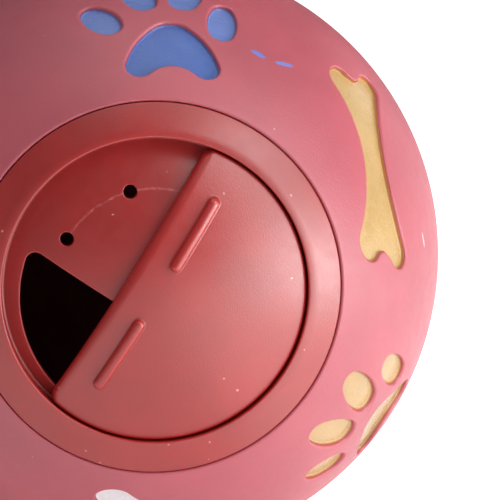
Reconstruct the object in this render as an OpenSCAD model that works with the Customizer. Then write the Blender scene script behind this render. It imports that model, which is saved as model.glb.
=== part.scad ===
// Treat dispensing ball.
// A hollow, soft ball holds a rigid round cap in its mouth. The cap has a sunk, domed floor with
// a half-round opening, and a part-disc dial turns over it on a centre pivot, so that more or
// less of the opening is free. Paws and bones are sunk into the ball and painted.
// The origin is the middle of the ball, +Z is up, and the mouth faces along -Y.

/* [Ball] */
// Outside diameter of the ball
ball_d = 110; // [100:1:140]
// Wall of the soft shell
ball_wall = 4; // [3:0.25:6]
// Height of the thick lip round the mouth, which the cap snaps over
lip_h = 4.5; // [3.5:0.25:6]
// How far that lip reaches out past the cap's seat
lip_w = 0.7; // [0.4:0.1:2]

/* [Paws and bones] */
// Depth of the sunk paws and bones
motif_depth = 1.2; // [0.6:0.1:2]
// Thickness of the coat of paint in them
paint_t = 0.2; // [0.1:0.05:0.4]
// Width of a paw's main pad
pad_w = 16.5; // [14:0.5:18]
// Height of a paw's main pad
pad_h = 13.1; // [11:0.1:14.5]
// Length of a paw's middle toes
toe_l = 11.7; // [9.5:0.1:12.5]
// Width of a paw's middle toes
toe_w = 6; // [5:0.1:6.8]
// Length of a bone
bone_l = 36.8; // [30:0.2:38]
// Width of a bone's ends
bone_w = 14; // [11:0.25:15]
// Width of a bone's waist
bone_waist = 6.2; // [4:0.2:8]
// How far a bone's middle bows to one side
bone_bow = 2.4; // [0:0.1:3]
// Distance over the ball from the mouth's edge to the middle of the blue paw
top_paw_reach = 11.95; // [11:0.05:16]
// Distance over the ball from the mouth's edge to the middle of the front bones
bone_reach = 19.9; // [18:0.1:26]
// Distance over the ball from the mouth's edge to the middle of the other front paws
side_paw_reach = 30; // [27:0.5:34]

/* [Cap] */
// Diameter of the round recess that the dial turns in
recess_d = 53.6; // [48:0.1:56]
// Width of the ring round the recess
ring_w = 5.7; // [4.8:0.1:7]
// How far the ring's face lies under the ball's surface
ring_sink = 0.3; // [0.1:0.05:0.8]
// Thickness of the ring at its outer edge
ring_t = 2.2; // [1.6:0.1:3]
// Rounding of the ring's inner edge
ring_round = 1.2; // [0.6:0.1:1.6]
// Wall of the cap's tube
cap_wall = 2.5; // [2:0.1:3]
// Thickness of the recess floor
floor_t = 2; // [1.5:0.1:3]
// How far the snap barb stands out under the lip
barb_w = 1.3; // [0.8:0.1:1.8]
// Height of the snap barb
barb_h = 2.5; // [2:0.1:3.5]

/* [Opening] */
// Floor left between the opening and the recess wall
opening_margin = 2.6; // [1.5:0.1:6]
// How far the middle of the opening's round side lies from the pivot
opening_shift = 1.7; // [0:0.1:2.5]
// Rounding of the opening's corners
opening_corner = 1.75; // [1:0.25:4]

/* [Dial] */
// Thickness of the dial
dial_t = 2.4; // [1.8:0.1:3.2]
// How far the dial's face lies under the ball's surface
dial_sink = 1.5; // [1:0.1:2.5]
// Free gap between the dial and the floor under it
dial_lift = 0.6; // [0.4:0.05:1]
// Free gap between the dial's rim and the recess wall
dial_gap = 0.5; // [0.3:0.05:1]
// Rounding of the dial's two corners
dial_corner = 2; // [1:0.25:5]
// Length of a finger rib
rib_l = 14.5; // [10:0.5:16]
// Width of a finger rib
rib_w = 2; // [1.5:0.1:3]
// Height of a finger rib
rib_h = 1.4; // [0.8:0.1:2]
// Distance from the pivot's axis to a rib's near end
rib_start = 5; // [3:0.25:7]

/* [Clicks] */
// Number of click holes
click_count = 5; // [2:1:5]
// Diameter of a click hole
click_d = 2.4; // [2.1:0.1:3]
// Distance of the click holes in from the recess wall
click_inset = 9; // [7:0.1:13]
// Diameter of the nub under the dial
nub_d = 2; // [1.2:0.1:2]
// Free gap between the nub and the floor
nub_gap = 0.12; // [0.08:0.01:0.2]

/* [Pivot] */
// Diameter of the dial's pivot
pivot_d = 7; // [6:0.25:8]
// Wall of the hub that the pivot turns in
hub_wall = 1.4; // [1.2:0.1:2.2]
// How far the hub stands down from the floor
hub_h = 2.4; // [1.5:0.1:4]
// Diameter of the screw's thread
screw_d = 2.9; // [2.5:0.1:3.5]
// Length of the screw under its head
screw_l = 6; // [5:0.25:6.5]
// Diameter of the screw's head
head_d = 6.4; // [5.5:0.1:7.5]
// Height of the screw's head
head_h = 1.9; // [1.5:0.1:2.5]
// Diameter of the washer
washer_d = 10; // [9:0.1:12]
// Thickness of the washer
washer_t = 1; // [0.6:0.1:1.5]

/* [Hidden] */
$fn = 96;

// Overrun of every cut
cut = 1;
// Steps on a small arc, on a long arc and on a full disc's rim
arc_steps = 6;
bow_steps = 4;
side_steps = 12;
rim_steps = 90;

// Colours
vinyl_red = [0.83, 0.38, 0.43];
cap_red = [0.72, 0.30, 0.29];
dial_red = [0.74, 0.31, 0.31];
paint_blue = [0.36, 0.49, 0.74];
paint_yellow = [0.93, 0.83, 0.55];
paint_white = [0.93, 0.94, 0.94];
zinc = [0.78, 0.79, 0.80];

// Clearances
neck_gap = 0.15;
ring_gap = 0.25;
barb_gap = 0.15;
pivot_gap = 0.08;
end_play = 0.2;
washer_gap = 0.15;
paint_gap = 0.03;
opening_land = 0.22;
edge_cover = 0.5;

// Ball
ball_r = ball_d / 2;
inside_r = ball_r - ball_wall;

// Cap: radii from the pivot's axis, and the radii of the domes, which all have the ball's middle
recess_r = recess_d / 2;
ring_r = recess_r + ring_w;
seat_r = ring_r + ring_gap;
ring_face_r = ball_r - ring_sink;
neck_r = recess_r + cap_wall;
mouth_r = neck_r + neck_gap;
dial_face_r = ball_r - dial_sink;
dial_under_r = dial_face_r - dial_t;
floor_r = dial_under_r - dial_lift;
floor_under_r = floor_r - floor_t;

// Cap: heights along the pivot's axis from the ball's middle
seat_z = dome(ring_face_r, ring_r) - ring_t;
lip_bottom_z = seat_z - lip_h;
barb_top_z = lip_bottom_z - barb_gap;
barb_bottom_z = barb_top_z - barb_h;
barb_land = barb_h / 4;
hub_bottom_z = floor_under_r - hub_h;
pivot_bottom_z = hub_bottom_z - end_play;
washer_bottom_z = pivot_bottom_z - washer_t;
pilot_gap = 0.4;
pilot_bite = 0.15;

// Pivot, opening and dial: what lines up with what
pivot_r = pivot_d / 2;
hub_bore_r = pivot_r + pivot_gap;
hub_r = hub_bore_r + hub_wall;
opening_r = recess_r - opening_margin - opening_shift;
opening_edge = hub_r + opening_land;
click_r = recess_r - click_inset;
dial_edge = opening_edge + edge_cover;
dial_r = recess_r - dial_gap;
head_socket_l = 0.6 * head_d;
head_socket_w = head_d / 6;
head_socket_depth = head_h / 2;

// Directions in degrees round the pivot's axis, seen from the front, anticlockwise from +X
opening_angle = -122.5;
click_step = 45;
click_lead = 1.5;
quarter_turn = 90;
rest_clicks = 2;
dial_angle = opening_angle + rest_clicks * click_step;

// Paw: roundings, and the toes' middles as shares of the pad's width, their sizes and their lean
pad_top_round = 4.2;
pad_lobe_round = 2.5;
pad_notch_round = 5.6;
pad_side_round = 18;
toe_base_share = 0.42;
toe_tip_share = 0.36;
toe_place_shares = [[-0.735, 0.485], [-0.335, 0.96], [0.2, 0.99], [0.565, 0.5]];
toe_length_shares = [0.78, 1, 1, 0.88];
toe_width_shares = [0.94, 1, 1, 0.88];
toe_lean = [35, 15, -13, -7];

// Bone: roundings of its knobs and of the notches between them
knob_round = 2.8;
notch_round = 2.4;

// Places on the ball: angle from the mouth's axis, angle round it, and turn
mouth_angle = asin(seat_r / ball_r);
top_paw_angle = mouth_angle + arc_angle(top_paw_reach);
bone_angle = mouth_angle + arc_angle(bone_reach);
side_paw_angle = mouth_angle + arc_angle(side_paw_reach);
front_blue_paw_angles = [top_paw_angle, 85, 3];
front_yellow_bone_angles = [bone_angle, 26, -31.3];
front_yellow_paw_angles = [side_paw_angle, -33.4, 180];
front_white_bone_angles = [bone_angle, -84.5, -31.3];
front_white_paw_angles = [side_paw_angle, -146, 180];
front_blue_bone_angles = [bone_angle, 158, -31.3];
back_yellow_paw_angles = [109, 112, 0];
back_white_bone_angles = [119, 52, 31.3];
back_blue_paw_angles = [130, -6, 180];
back_yellow_bone_angles = [119, -62, 31.3];
back_white_paw_angles = [109, -120, 0];
back_blue_bone_angles = [119, 178, 31.3];
rear_yellow_paw_angles = [171.5, 90, 0];

PAW_ANGLES = [
    front_blue_paw_angles, front_yellow_paw_angles, front_white_paw_angles,
    back_yellow_paw_angles, back_blue_paw_angles, back_white_paw_angles, rear_yellow_paw_angles,
];
BONE_ANGLES = [
    front_yellow_bone_angles, front_white_bone_angles, front_blue_bone_angles,
    back_white_bone_angles, back_yellow_bone_angles, back_blue_bone_angles,
];

// Angle at the ball's middle of a distance over its surface
function arc_angle(reach) = reach / ball_r * 180 / PI;

// Height of a dome of radius r at distance d from its axis
function dome(r, d) = sqrt(r * r - d * d);

// Points on an arc about c, and the same without its two ends
function arc(c, r, a0, a1, steps) =
    [for (i = [0:steps]) arc_point(c, r, a0 + (a1 - a0) * i / steps)];
function arc_inside(c, r, a0, a1, steps) =
    [for (i = [1:steps - 1]) arc_point(c, r, a0 + (a1 - a0) * i / steps)];
function arc_point(c, r, a) = [c.x + r * cos(a), c.y + r * sin(a)];

// Middle of the wide arc of radius r that runs round circle a and on round circle b
function bow_middle(a, a_r, b, b_r, r) =
    let (gap = norm(b - a))
    let (along = ((r - a_r) * (r - a_r) - (r - b_r) * (r - b_r) + gap * gap) / (2 * gap))
    let (aside = dome(r - a_r, along))
    a + (b - a) * along / gap + [a.y - b.y, b.x - a.x] * aside / gap;

// Direction from one point to another
function way(from, to) = atan2(to.y - from.y, to.x - from.x);

// A disc of radius r beyond a straight edge, with round corners
module round_segment(r, edge, corner) {
    corner_x = edge + corner;
    corner_y = dome(r - corner, corner_x);
    a = atan2(corner_y, corner_x);
    polygon(concat(
        arc_inside([0, 0], r, -a, a, rim_steps),
        arc([corner_x, corner_y], corner, a, 180, arc_steps),
        arc([corner_x, -corner_y], corner, 180, 360 - a, arc_steps)
    ));
}

// A paw's main pad: a round top, two lobes and a notch between them
module pad(inset) {
    top = [0, pad_h / 2 - pad_top_round];
    lobe = [pad_w / 2 - pad_lobe_round, pad_lobe_round - pad_h / 2];
    notch = [0, lobe.y - dome(pad_lobe_round + pad_notch_round, lobe.x)];
    side = bow_middle(lobe, pad_lobe_round, top, pad_top_round, pad_side_round);
    low = way(side, lobe);
    high = way(side, top);
    meet = way(notch, lobe);
    lobe_r = pad_lobe_round - inset;
    side_r = pad_side_round - inset;
    polygon(concat(
        arc(lobe, lobe_r, meet - 180, low, arc_steps),
        arc_inside(side, side_r, low, high, bow_steps),
        arc(top, pad_top_round - inset, high, 180 - high, arc_steps),
        arc_inside([-side.x, side.y], side_r, 180 - high, 180 - low, bow_steps),
        arc([-lobe.x, lobe.y], lobe_r, 180 - low, 360 - meet, arc_steps),
        arc_inside(notch, pad_notch_round + inset, 180 - meet, meet, arc_steps)
    ));
}

// A toe: an egg with its narrow end at the top, about its own middle
module toe(length, width, inset) {
    wide_r = width * toe_base_share;
    tip_r = width * toe_tip_share;
    mean_r = (wide_r + tip_r) / 2;
    reach = length - wide_r - tip_r;
    side_r = ((width * width + reach * reach) / 4 - mean_r * mean_r) / (width - 2 * mean_r);
    wide = [0, wide_r - length / 2];
    tip = [0, wide.y + reach];
    side = bow_middle(wide, wide_r, tip, tip_r, side_r);
    low = way(side, wide);
    high = way(side, tip);
    polygon(concat(
        arc(wide, wide_r - inset, -180 - low, low, arc_steps),
        arc_inside(side, side_r - inset, low, high, bow_steps),
        arc(tip, tip_r - inset, high, 180 - high, arc_steps),
        arc_inside([-side.x, side.y], side_r - inset, 180 - high, 180 - low, bow_steps)
    ));
}

module paw(inset = 0) {
    pad(inset);
    for (i = [0:len(toe_lean) - 1])
        translate(pad_w * toe_place_shares[i])
            rotate(toe_lean[i])
                toe(toe_l * toe_length_shares[i], toe_w * toe_width_shares[i], inset);
}

// A bone: four knobs, a notch at each end, and hollow sides down to the waist, bowed
module bone(inset = 0) {
    knob = [bone_l / 2 - knob_round, bone_w / 2 - knob_round];
    waist = bone_waist / 2;
    drop = knob.y - waist;
    side_r = (knob.x * knob.x + drop * drop - knob_round * knob_round) / (2 * (knob_round + drop));
    side_y = side_r + waist;
    notch_x = knob.x + dome(knob_round + notch_round, knob.y);
    to_side = atan2(side_y - knob.y, -knob.x);
    to_notch = atan2(-knob.y, notch_x - knob.x);
    knob_r = knob_round - inset;
    flat = concat(
        arc(knob, knob_r, to_notch, to_side, arc_steps),
        arc_inside([0, side_y], side_r + inset, to_side - 180, -to_side, side_steps),
        arc([-knob.x, knob.y], knob_r, 180 - to_side, 180 - to_notch, arc_steps),
        arc_inside([-notch_x, 0], notch_round + inset, -to_notch, to_notch, arc_steps),
        arc(-knob, knob_r, 180 + to_notch, 180 + to_side, arc_steps),
        arc_inside([0, -side_y], side_r + inset, to_side, 180 - to_side, side_steps),
        arc([knob.x, -knob.y], knob_r, -to_side, -to_notch, arc_steps),
        arc_inside([notch_x, 0], notch_round + inset, 180 - to_notch, 180 + to_notch, arc_steps)
    );
    polygon([for (p = flat) [p.x, p.y - bone_bow * (1 - pow(2 * p.x / bone_l, 2))]]);
}

// From the mouth's frame (x right, y up, z out of the mouth) to the ball's
module facing_front() {
    rotate([90, 0, 0])
        children();
}

// A place on the ball, with the outline's up side away from the mouth
module on_ball(angles) {
    rotate([0, 0, angles[1]])
        rotate([0, angles[0], 0])
            rotate([0, 0, angles[2] - quarter_turn])
                children();
}

// What an outline cuts out of the ball between two depths
module sunk(angles, top_r, bottom_r) {
    difference() {
        intersection() {
            on_ball(angles)
                translate([0, 0, inside_r / 2])
                    linear_extrude(height = ball_r)
                        children();
            sphere(r = top_r);
        }
        sphere(r = bottom_r);
    }
}

// The shell's section through the mouth's axis, with the thick lip, and the ring's seat
module shell_section() {
    difference() {
        union() {
            difference() {
                circle(r = ball_r);
                circle(r = inside_r);
            }
            intersection() {
                circle(r = ball_r);
                translate([mouth_r, lip_bottom_z])
                    square([seat_r + lip_w - mouth_r, lip_h + ring_t + ring_sink]);
            }
        }
        translate([-ball_r - cut, -ball_r - cut])
            square([ball_r + cut, ball_d + 2 * cut]);
        translate([-cut, 0])
            square([mouth_r + cut, ball_r + cut]);
        translate([0, seat_z])
            square([seat_r, ball_r]);
    }
}

module ball_shell() {
    color(vinyl_red)
        facing_front()
            difference() {
                rotate([0, 0, quarter_turn])
                    rotate_extrude()
                        shell_section();
                for (angles = PAW_ANGLES)
                    sunk(angles, ball_r + cut, ball_r - motif_depth)
                        paw();
                for (angles = BONE_ANGLES)
                    sunk(angles, ball_r + cut, ball_r - motif_depth)
                        bone();
            }
}

// The coat of paint on the floor of one sunk shape
module paint(angles, shade) {
    bottom_r = ball_r - motif_depth + paint_gap;
    color(shade)
        facing_front()
            sunk(angles, bottom_r + paint_t, bottom_r)
                children();
}

module front_blue_paw_paint() {
    paint(front_blue_paw_angles, paint_blue)
        paw(paint_gap);
}

module front_yellow_bone_paint() {
    paint(front_yellow_bone_angles, paint_yellow)
        bone(paint_gap);
}

module front_yellow_paw_paint() {
    paint(front_yellow_paw_angles, paint_yellow)
        paw(paint_gap);
}

module front_white_bone_paint() {
    paint(front_white_bone_angles, paint_white)
        bone(paint_gap);
}

module front_white_paw_paint() {
    paint(front_white_paw_angles, paint_white)
        paw(paint_gap);
}

module front_blue_bone_paint() {
    paint(front_blue_bone_angles, paint_blue)
        bone(paint_gap);
}

module back_yellow_paw_paint() {
    paint(back_yellow_paw_angles, paint_yellow)
        paw(paint_gap);
}

module back_white_bone_paint() {
    paint(back_white_bone_angles, paint_white)
        bone(paint_gap);
}

module back_blue_paw_paint() {
    paint(back_blue_paw_angles, paint_blue)
        paw(paint_gap);
}

module back_yellow_bone_paint() {
    paint(back_yellow_bone_angles, paint_yellow)
        bone(paint_gap);
}

module back_white_paw_paint() {
    paint(back_white_paw_angles, paint_white)
        paw(paint_gap);
}

module back_blue_bone_paint() {
    paint(back_blue_bone_angles, paint_blue)
        bone(paint_gap);
}

module rear_yellow_paw_paint() {
    paint(rear_yellow_paw_angles, paint_yellow)
        paw(paint_gap);
}

// The cap's ring, tube and barb, in section through the pivot's axis
module rim_section() {
    edge = [recess_r + ring_round, dome(ring_face_r - ring_round, recess_r + ring_round)];
    edge_angle = atan2(edge.y, edge.x);
    outer_angle = acos(ring_r / ring_face_r);
    polygon(concat(
        arc(edge, ring_round, 180, edge_angle, arc_steps),
        arc([0, 0], ring_face_r, edge_angle + (outer_angle - edge_angle) / arc_steps, outer_angle, arc_steps),
        [
            [ring_r, seat_z],
            [neck_r, seat_z],
            [neck_r, barb_top_z],
            [neck_r + barb_w, barb_top_z],
            [neck_r + barb_w, barb_top_z - barb_land],
            [recess_r + cap_wall / 2, barb_bottom_z],
            [recess_r, barb_bottom_z],
        ]
    ));
}

// The recess floor, a shallow dome, in section
module floor_section() {
    intersection() {
        difference() {
            circle(r = floor_r);
            circle(r = floor_under_r);
        }
        square([recess_r + cap_wall / 2, ball_r]);
    }
}

module opening_outline() {
    rotate(opening_angle)
        translate([opening_shift, 0])
            round_segment(opening_r, opening_edge - opening_shift, opening_corner);
}

module cap_housing() {
    color(cap_red)
        facing_front()
            difference() {
                union() {
                    rotate_extrude() {
                        rim_section();
                        floor_section();
                    }
                    translate([0, 0, hub_bottom_z])
                        cylinder(r = hub_r, h = hub_h + floor_t / 2);
                }
                translate([0, 0, hub_bottom_z - cut])
                    cylinder(r = hub_bore_r, h = hub_h + floor_t + 2 * cut);
                linear_extrude(height = ball_r)
                    opening_outline();
                for (i = [0:click_count - 1])
                    rotate(opening_angle + quarter_turn + click_lead + i * click_step)
                        translate([click_r, 0, 0])
                            cylinder(d = click_d, h = ball_r);
            }
}

// The dial's plate, domed like the ball, with its straight edge beyond the pivot
module dial_plate() {
    difference() {
        intersection() {
            linear_extrude(height = ball_r)
                round_segment(dial_r, -dial_edge, dial_corner);
            sphere(r = dial_face_r);
        }
        sphere(r = dial_under_r);
    }
}

// A bar with round ends from the pivot outwards along +Y
module rib_outline() {
    end_y = rib_l - rib_w;
    translate([0, rib_start + rib_w / 2]) {
        circle(d = rib_w);
        translate([-rib_w / 2, 0])
            square([rib_w, end_y]);
        translate([0, end_y])
            circle(d = rib_w);
    }
}

// The two finger ribs, on one diameter along the straight edge
module finger_ribs() {
    intersection() {
        translate([0, 0, dial_under_r - ball_wall])
            linear_extrude(height = ball_r) {
                rib_outline();
                mirror([0, 1])
                    rib_outline();
            }
        difference() {
            sphere(r = dial_face_r + rib_h);
            sphere(r = dial_face_r - dial_t / 2);
        }
    }
}

// The nub that drops into the click holes
module click_nub() {
    intersection() {
        rotate(quarter_turn + click_lead)
            translate([click_r, 0, 0])
                cylinder(d = nub_d, h = ball_r);
        difference() {
            sphere(r = dial_under_r + dial_t / 2);
            sphere(r = floor_r + nub_gap);
        }
    }
}

module shutter_dial() {
    color(dial_red)
        facing_front()
            rotate(dial_angle)
                difference() {
                    union() {
                        dial_plate();
                        finger_ribs();
                        click_nub();
                        translate([0, 0, pivot_bottom_z])
                            cylinder(r = pivot_r, h = dial_under_r - pivot_bottom_z + dial_t / 2);
                    }
                    translate([0, 0, pivot_bottom_z - cut])
                        cylinder(d = screw_d - 2 * pilot_bite, h = screw_l - washer_t + pilot_gap + cut);
                }
}

module pivot_screw() {
    color(zinc)
        facing_front()
            difference() {
                union() {
                    translate([0, 0, washer_bottom_z])
                        cylinder(d = screw_d, h = screw_l);
                    translate([0, 0, washer_bottom_z - head_h])
                        cylinder(d = head_d, h = head_h);
                }
                for (turn = [0, quarter_turn])
                    rotate(turn)
                        translate([0, 0, washer_bottom_z - head_h])
                            cube([head_socket_l, head_socket_w, 2 * head_socket_depth], center = true);
            }
}

module pivot_washer() {
    color(zinc)
        facing_front()
            translate([0, 0, washer_bottom_z])
                difference() {
                    cylinder(d = washer_d, h = washer_t);
                    translate([0, 0, -cut])
                        cylinder(d = screw_d + 2 * washer_gap, h = washer_t + 2 * cut);
                }
}

ball_shell();
front_blue_paw_paint();
front_yellow_bone_paint();
front_yellow_paw_paint();
front_white_bone_paint();
front_white_paw_paint();
front_blue_bone_paint();
back_yellow_paw_paint();
back_white_bone_paint();
back_blue_paw_paint();
back_yellow_bone_paint();
back_white_paw_paint();
back_blue_bone_paint();
rear_yellow_paw_paint();
cap_housing();
shutter_dial();
pivot_screw();
pivot_washer();
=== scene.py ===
import math

import bmesh
import bpy
import numpy as np
from bpy.props import FloatProperty, FloatVectorProperty, PointerProperty
from mathutils import Matrix, Vector


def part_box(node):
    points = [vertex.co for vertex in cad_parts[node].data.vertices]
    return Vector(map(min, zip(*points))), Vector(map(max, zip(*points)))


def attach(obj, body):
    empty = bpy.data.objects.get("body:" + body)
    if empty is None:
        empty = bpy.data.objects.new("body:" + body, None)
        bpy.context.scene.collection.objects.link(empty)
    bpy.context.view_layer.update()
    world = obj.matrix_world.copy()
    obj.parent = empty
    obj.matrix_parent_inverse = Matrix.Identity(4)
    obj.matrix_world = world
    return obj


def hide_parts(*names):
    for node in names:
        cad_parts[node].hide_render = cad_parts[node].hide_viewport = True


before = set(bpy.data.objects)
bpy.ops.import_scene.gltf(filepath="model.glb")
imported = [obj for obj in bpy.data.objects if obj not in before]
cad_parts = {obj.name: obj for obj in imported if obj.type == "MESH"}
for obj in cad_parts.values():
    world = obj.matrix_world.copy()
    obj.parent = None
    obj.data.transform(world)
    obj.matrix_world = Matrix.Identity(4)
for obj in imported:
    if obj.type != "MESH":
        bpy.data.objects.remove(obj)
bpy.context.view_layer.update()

bl_info = {
    "name": "Treat Dispensing Ball",
    "version": (1, 0, 0),
    "blender": (4, 5, 0),
    "location": "View3D > Sidebar > Treat Ball",
    "description": "Builds the dressed pieces of a treat dispensing ball round its CAD frame",
    "category": "Object",
}

MM = 0.001

# Corners closer than this are welded, in millimetres
WELD = 1e-4

# Subdivisions of the balls that the outer surface and paint, and the other domes, are cut from
FINE, PLAIN = 7, 6

# The mouth's frame, in millimetres, has x to the right, y up and z out of the mouth. This turns
# it into the part's frame, in metres, with +Z up and the mouth along -Y.
TO_PART = Matrix.Rotation(math.pi / 2, 4, "X") @ Matrix.Scale(MM, 4)

BALL_R = max(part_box("ball_shell")[1]) / MM

# Cap and dial, in millimetres from the pivot's axis, or radii of domes about the ball's middle
RECESS_R = 26.6
TUBE_R = 26.8
RING_R = 32.5
RING_FACE_R = 54.7
SEAT_R = 32.63
SEAT_Z = 41.8
NECK_R = 29.3
MOUTH_R = 29.45
LIP_BOTTOM_Z = 37.3
LIP_R = 33.45
BARB = [(29.3, 37.15), (30.6, 37.15), (30.6, 36.525), (28.05, 34.65), (TUBE_R, 34.65)]
FLOOR_R = 50.5
FLOOR_UNDER_R = 48.5
HUB_R = 4.98
HUB_BORE_R = 3.58
HUB_BOTTOM_Z = 46.1
OPENING_R = 22.5
OPENING_SHIFT = 1.7
OPENING_EDGE = 5.2
OPENING_CORNER = 1.75
OPENING_ANGLE = -122.5
CLICK_R = 17.8
CLICK_HOLE_R = 1.2
CLICK_STEP = 45
CLICK_LEAD = 1.5
CLICK_COUNT = 5
DIAL_R = 26.3
DIAL_EDGE = 5.7
DIAL_CORNER = 2.0
DIAL_FACE_R = 53.5
DIAL_UNDER_R = 51.1
DIAL_ANGLE = -32.5
PIVOT_R = 3.5
PIVOT_BOTTOM_Z = 45.9
PILOT_R = 1.3
PILOT_DEPTH = 5.4
NUB_R = 1.0
NUB_TIP_R = 50.62
RIB_W = 2.0
RIB_L = 14.5
RIB_START = 5.0
RIB_H = 1.4

# Sunk shapes: paw and bone outlines, in millimetres
PAD_W, PAD_H, TOE_L, TOE_W = 16.5, 13.1, 11.7, 6.0
PAD_TOP_ROUND, PAD_LOBE_ROUND, PAD_NOTCH_ROUND, PAD_SIDE_ROUND = 4.2, 2.5, 5.6, 18.0
TOE_BASE_SHARE, TOE_TIP_SHARE = 0.42, 0.36
TOES = [
    # place as shares of the pad's width, length and width as shares, lean in degrees
    ((-0.735, 0.485), 0.78, 0.94, 35),
    ((-0.335, 0.96), 1, 1, 15),
    ((0.2, 0.99), 1, 1, -13),
    ((0.565, 0.5), 0.88, 0.88, -7),
]
BONE_L, BONE_W, BONE_WAIST, BONE_BOW = 36.8, 14.0, 6.2, 2.4
KNOB_ROUND, NOTCH_ROUND = 2.8, 2.4

# Each shape's angle from the mouth's axis, angle round it and turn. A name is place, paint, kind.
SHAPES = {
    "front_blue_paw": (48.996, 85, 3),
    "front_yellow_bone": (57.275, 26, -31.3),
    "front_yellow_paw": (67.797, -33.4, 180),
    "front_white_bone": (57.275, -84.5, -31.3),
    "front_white_paw": (67.797, -146, 180),
    "front_blue_bone": (57.275, 158, -31.3),
    "back_yellow_paw": (109, 112, 0),
    "back_white_bone": (119, 52, 31.3),
    "back_blue_paw": (130, -6, 180),
    "back_yellow_bone": (119, -62, 31.3),
    "back_white_paw": (109, -120, 0),
    "back_blue_bone": (119, 178, 31.3),
    "rear_yellow_paw": (171.5, 90, 0),
}

# The coat of paint's edge: how far from the outline and how deep it starts, and its steps inwards
# with their heights over the coat's face, down to where the fine dome's corners begin
COAT_TOP, COAT_CLIMB, COAT_FACE = -0.13, {"bone": 0.42, "paw": 0.6}, -1.1
COAT_STEPS = [(-0.14, 0.22), (-0.19, 0.12), (-0.30, 0.04), (-0.45, 0.0), (-0.65, 0.0)]

# Painted light on the paws' coats: the pads take a painted shade and the toes a painted sheen, the
# bones neither. Which a corner takes: the pad's up to a margin outside the pad's outline
PAD_PAINTED_SHADE, BONE_NO_PAINTED_LIGHT, TOE_PAINTED_SHEEN, PAD_MARGIN = 0.0, 0.5, 1.0, 0.5

# The shape so close to the mouth that the surface round both is filled in one go
BY_THE_MOUTH = "front_blue_paw"

# Marks on the vinyl: place and direction in the part's frame, half length and half width in
# millimetres, colour and strength. Two flecks of stray paint and a pale scratch.
MARKS = [
    ((19.0, -32.91, 39.77), (0.866, -0.095, -0.492), 1.6, 0.6, (0.38, 0.49, 0.80), 0.9),
    ((23.59, -32.11, 37.92), (0.894, 0.385, -0.23), 2.1, 0.55, (0.40, 0.50, 0.80), 0.85),
    ((49.69, -22.98, 5.25), (0.186, 0.182, -0.966), 1.6, 0.35, (0.97, 0.86, 0.88), 0.6),
]

# How far above and under the surface a mark still shows, in millimetres
MARK_REACH = 4.0

# The scuffed arc: angles over which it starts and ends, and how far forward it lies in millimetres
SCUFF_ARC, SCUFF_FRONT = (-36, -30, 143, 149), 44.5

# Depths under the ball's surface from which paint gets thin and where it is thinnest
THICK_PAINT, THIN_PAINT = 0.93, 0.6

# The photograph's frame and where the ball's middle lies in it, in pixels
PICTURE_W = 500
BALL_IN_PICTURE = (142.7, 254.0)

# Softboxes: name, share of the power, azimuth towards +X and elevation in degrees, and distance,
# width and height in metres
LAMPS = [
    ("softbox_right_near", 0.095, 43, 0, 0.42, (0.2, 0.18)),
    ("softbox_right", 0.20, 64, 0, 0.42, (0.2, 0.18)),
    ("softbox_right_low", 0.03, 76, -4, 0.3, (0.2, 0.055)),
    ("softbox_upper", 0.08, 53, 21, 0.45, (0.28, 0.12)),
    ("softbox_high", 0.21, 48, 42, 0.5, (0.3, 0.2)),
    ("softbox_behind", 0.10, 128, 14, 0.6, (0.35, 0.3)),
    ("softbox_top", 0.265, 0, 85, 0.7, (0.5, 0.5)),
    ("softbox_left", 0.02, -112, 57, 0.6, (0.3, 0.3)),
]

# The floor: half its side, and where along X it starts to look lit and is fully lit, in metres
FLOOR_HALF, LIT_FLOOR = 12.0, (0.01, 0.06)

# What a mirrored floor and sky lose of their light, and what makes the seen floor white
FLOOR_LOSS, SKY_LOSS, FLOOR_WHITE = 0.85, 0.7, 0.5


# ---- Outlines ----

def arc(centre, r, start, end, steps=24):
    turn = np.radians(np.linspace(start, end, steps + 1))
    return np.stack([centre[0] + r * np.cos(turn), centre[1] + r * np.sin(turn)], 1)


def turned(points, degrees):
    c, s = math.cos(math.radians(degrees)), math.sin(math.radians(degrees))
    return points @ np.array([[c, s], [-s, c]])


def bow_middle(a, a_r, b, b_r, r):
    """Middle of the wide arc of radius r that runs round circle a and on round circle b."""
    gap = math.dist(a, b)
    along = ((r - a_r) ** 2 - (r - b_r) ** 2 + gap**2) / (2 * gap)
    aside = math.sqrt((r - a_r) ** 2 - along**2)
    dx, dy = (b[0] - a[0]) / gap, (b[1] - a[1]) / gap
    return (a[0] + dx * along - dy * aside, a[1] + dy * along + dx * aside)


def way(start, end):
    """The angle of the line from one point to another, in degrees."""
    return math.degrees(math.atan2(end[1] - start[1], end[0] - start[0]))


def pad_outline():
    top = (0, PAD_H / 2 - PAD_TOP_ROUND)
    lobe = (PAD_W / 2 - PAD_LOBE_ROUND, PAD_LOBE_ROUND - PAD_H / 2)
    notch = (0, lobe[1] - math.sqrt((PAD_LOBE_ROUND + PAD_NOTCH_ROUND) ** 2 - lobe[0] ** 2))
    side = bow_middle(lobe, PAD_LOBE_ROUND, top, PAD_TOP_ROUND, PAD_SIDE_ROUND)
    low, high, meet = way(side, lobe), way(side, top), way(notch, lobe)
    return np.concatenate([
        arc(lobe, PAD_LOBE_ROUND, meet - 180, low),
        arc(side, PAD_SIDE_ROUND, low, high)[1:-1],
        arc(top, PAD_TOP_ROUND, high, 180 - high),
        arc((-side[0], side[1]), PAD_SIDE_ROUND, 180 - high, 180 - low)[1:-1],
        arc((-lobe[0], lobe[1]), PAD_LOBE_ROUND, 180 - low, 360 - meet),
        arc(notch, PAD_NOTCH_ROUND, 180 - meet, meet)[1:-1],
    ])


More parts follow.
